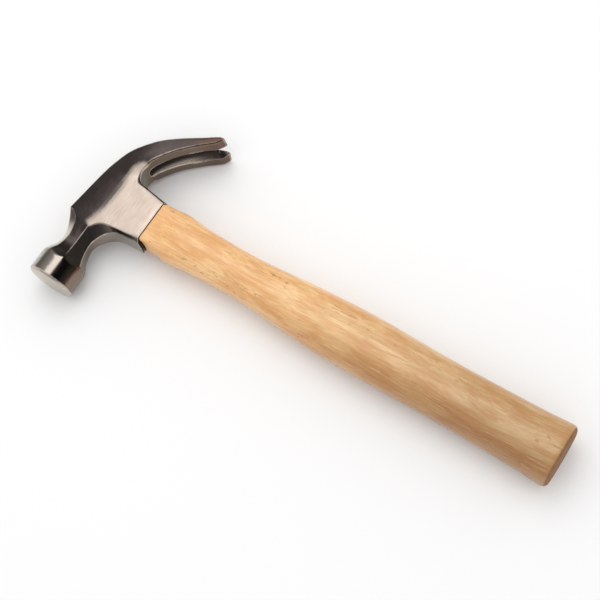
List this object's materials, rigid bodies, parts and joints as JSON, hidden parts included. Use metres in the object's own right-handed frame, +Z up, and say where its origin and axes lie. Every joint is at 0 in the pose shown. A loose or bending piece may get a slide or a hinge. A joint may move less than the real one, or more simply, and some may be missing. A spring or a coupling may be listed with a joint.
{
  "type": "claw hammer",
  "caption": "Claw hammer with a forged steel head, round striking bell, curved nail claws and an oval wooden handle wedged into the eye, lying on its side.",
  "frame": {"origin": "centre of the bottom of the hammer's bounding box, on the surface it lies on", "axes": "+X along the handle from the head to the butt, +Y from the striking face towards the claws, +Z up out of the upper cheek"},
  "size_m": [0.325, 0.1297, 0.0294],
  "materials": {
    "forged_steel": "ground bright on the cheeks, polished dark gunmetal elsewhere, thin clear lacquer",
    "handle_wood": "pale straight-grained hardwood under satin clear lacquer",
    "wedge_wood": "raw darker hardwood, end grain",
    "wedge_steel": "dull stamped mild steel"
  },
  "bodies": {
    "root": {"head": "forged_steel", "handle": "handle_wood", "wooden_wedge": "wedge_wood", "steel_wedge_poll": "wedge_steel", "steel_wedge_claw": "wedge_steel"}
  },
  "joints": []
}
